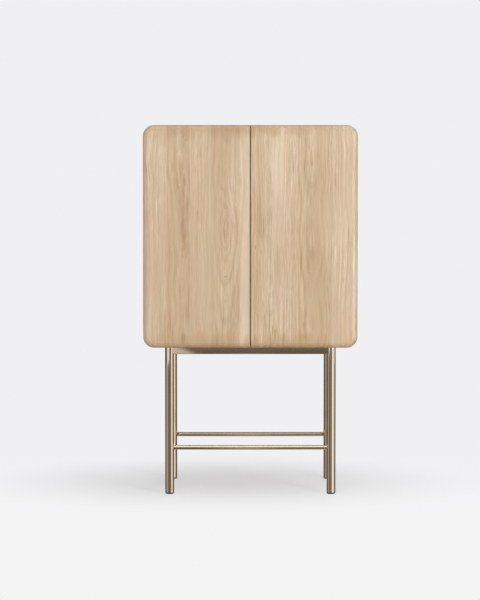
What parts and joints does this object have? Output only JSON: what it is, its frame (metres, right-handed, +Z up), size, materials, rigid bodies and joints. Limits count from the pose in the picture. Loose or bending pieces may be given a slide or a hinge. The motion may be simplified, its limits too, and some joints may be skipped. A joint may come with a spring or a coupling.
{
  "type": "bar cabinet",
  "caption": "Tall oak bar cabinet on a metal leg frame, with overlay doors, a fold out shelf with a swing out bracket, bottle racks and a stemware rack.",
  "frame": {"origin": "on the floor under the middle of the cabinet's depth and width", "axes": "+X to the right seen from the front, +Y towards the back, +Z up"},
  "size_m": [0.86, 0.45, 1.488],
  "materials": {
    "oak_front": "pale oak veneer, matt lacquer, vertical grain",
    "oak_carcass": "pale oak, matt lacquer",
    "oak_inside": "pale oak, matt lacquer",
    "champagne_metal": "satin champagne plating",
    "brass": "satin brass",
    "hinge_steel": "nickel plated",
    "black_glide": "matt black",
    "black_plastic": "matt black",
    "grey_plastic": "moulded grey"
  },
  "bodies": {
    "cabinet": {"back_panel": "oak_carcass", "bottom_panel": "oak_carcass", "corner_bottom_left": "oak_carcass", "corner_bottom_right": "oak_carcass", "corner_top_left": "oak_carcass", "corner_top_right": "oak_carcass", "glide_front_left": "black_glide", "glide_front_right": "black_glide", "glide_rear_left": "black_glide", "glide_rear_right": "black_glide", "hinge_arm_lower_left": "hinge_steel", "hinge_arm_lower_right": "hinge_steel", "hinge_arm_upper_left": "hinge_steel", "hinge_arm_upper_right": "hinge_steel", "latch_housing_left": "grey_plastic", "latch_housing_right": "grey_plastic", "left_panel": "oak_carcass", "leg_front_left": "champagne_metal", "leg_front_right": "champagne_metal", "leg_rear_left": "champagne_metal", "leg_rear_right": "champagne_metal", "loose_shelf": "oak_inside", "lower_divider": "oak_inside", "middle_shelf": "oak_inside", "rail_front": "champagne_metal", "rail_left": "champagne_metal", "rail_rear": "champagne_metal", "rail_right": "champagne_metal", "right_panel": "oak_carcass", "shelf_peg_front_left": "brass", "shelf_peg_front_right": "brass", "shelf_peg_rear_left": "brass", "shelf_peg_rear_right": "brass", "stemware_rack": "oak_inside", "stretcher_front": "champagne_metal", "stretcher_rear": "champagne_metal", "top_panel": "oak_carcass", "upper_divider": "oak_inside"},
    "door_left": {"door_left": "oak_front", "hinge_cup_lower_left": "hinge_steel", "hinge_cup_upper_left": "hinge_steel", "bottle_tray_lower": "oak_inside", "bottle_tray_upper": "oak_inside", "bottle_rail_lower": "brass", "bottle_rail_upper": "brass"},
    "door_right": {"door_right": "oak_front", "hinge_cup_lower_right": "hinge_steel", "hinge_cup_upper_right": "hinge_steel", "shelf_cleat": "oak_inside", "piano_leaf_fixed": "brass", "piano_pin": "hinge_steel", "shelf_catch": "hinge_steel", "bracket_plate": "brass", "bracket_pin": "hinge_steel"},
    "fold_out_shelf": {"shelf_board": "oak_inside", "piano_leaf_moving": "brass"},
    "shelf_bracket": {"bracket_arm": "brass"},
    "plunger_left": {"latch_plunger_left": "black_plastic"},
    "plunger_right": {"latch_plunger_right": "black_plastic"}
  },
  "joints": [
    {"name": "door_left_hinge", "type": "hinge", "parent": "cabinet", "child": "door_left", "pos_m": [-0.42, -0.208, 1.0415], "axis": [0, 0, -1], "range_deg": [0, 100]},
    {"name": "door_right_hinge", "type": "hinge", "parent": "cabinet", "child": "door_right", "pos_m": [0.42, -0.208, 1.0415], "axis": [0, 0, 1], "range_deg": [0, 100]},
    {"name": "shelf_fold", "type": "hinge", "parent": "door_right", "child": "fold_out_shelf", "pos_m": [0.204, -0.1747, 1.055], "axis": [-1, 0, 0], "range_deg": [0, 90]},
    {"name": "bracket_swing", "type": "hinge", "parent": "door_right", "child": "shelf_bracket", "pos_m": [0.204, -0.165, 0.95], "axis": [0, 0, -1], "range_deg": [0, 90]},
    {"name": "latch_left_push", "type": "slide", "parent": "cabinet", "child": "plunger_left", "axis": [0, 1, 0], "range_m": [0, 0.004], "stiffness_N_per_m": 400},
    {"name": "latch_right_push", "type": "slide", "parent": "cabinet", "child": "plunger_right", "axis": [0, 1, 0], "range_m": [0, 0.004], "stiffness_N_per_m": 400}
  ]
}
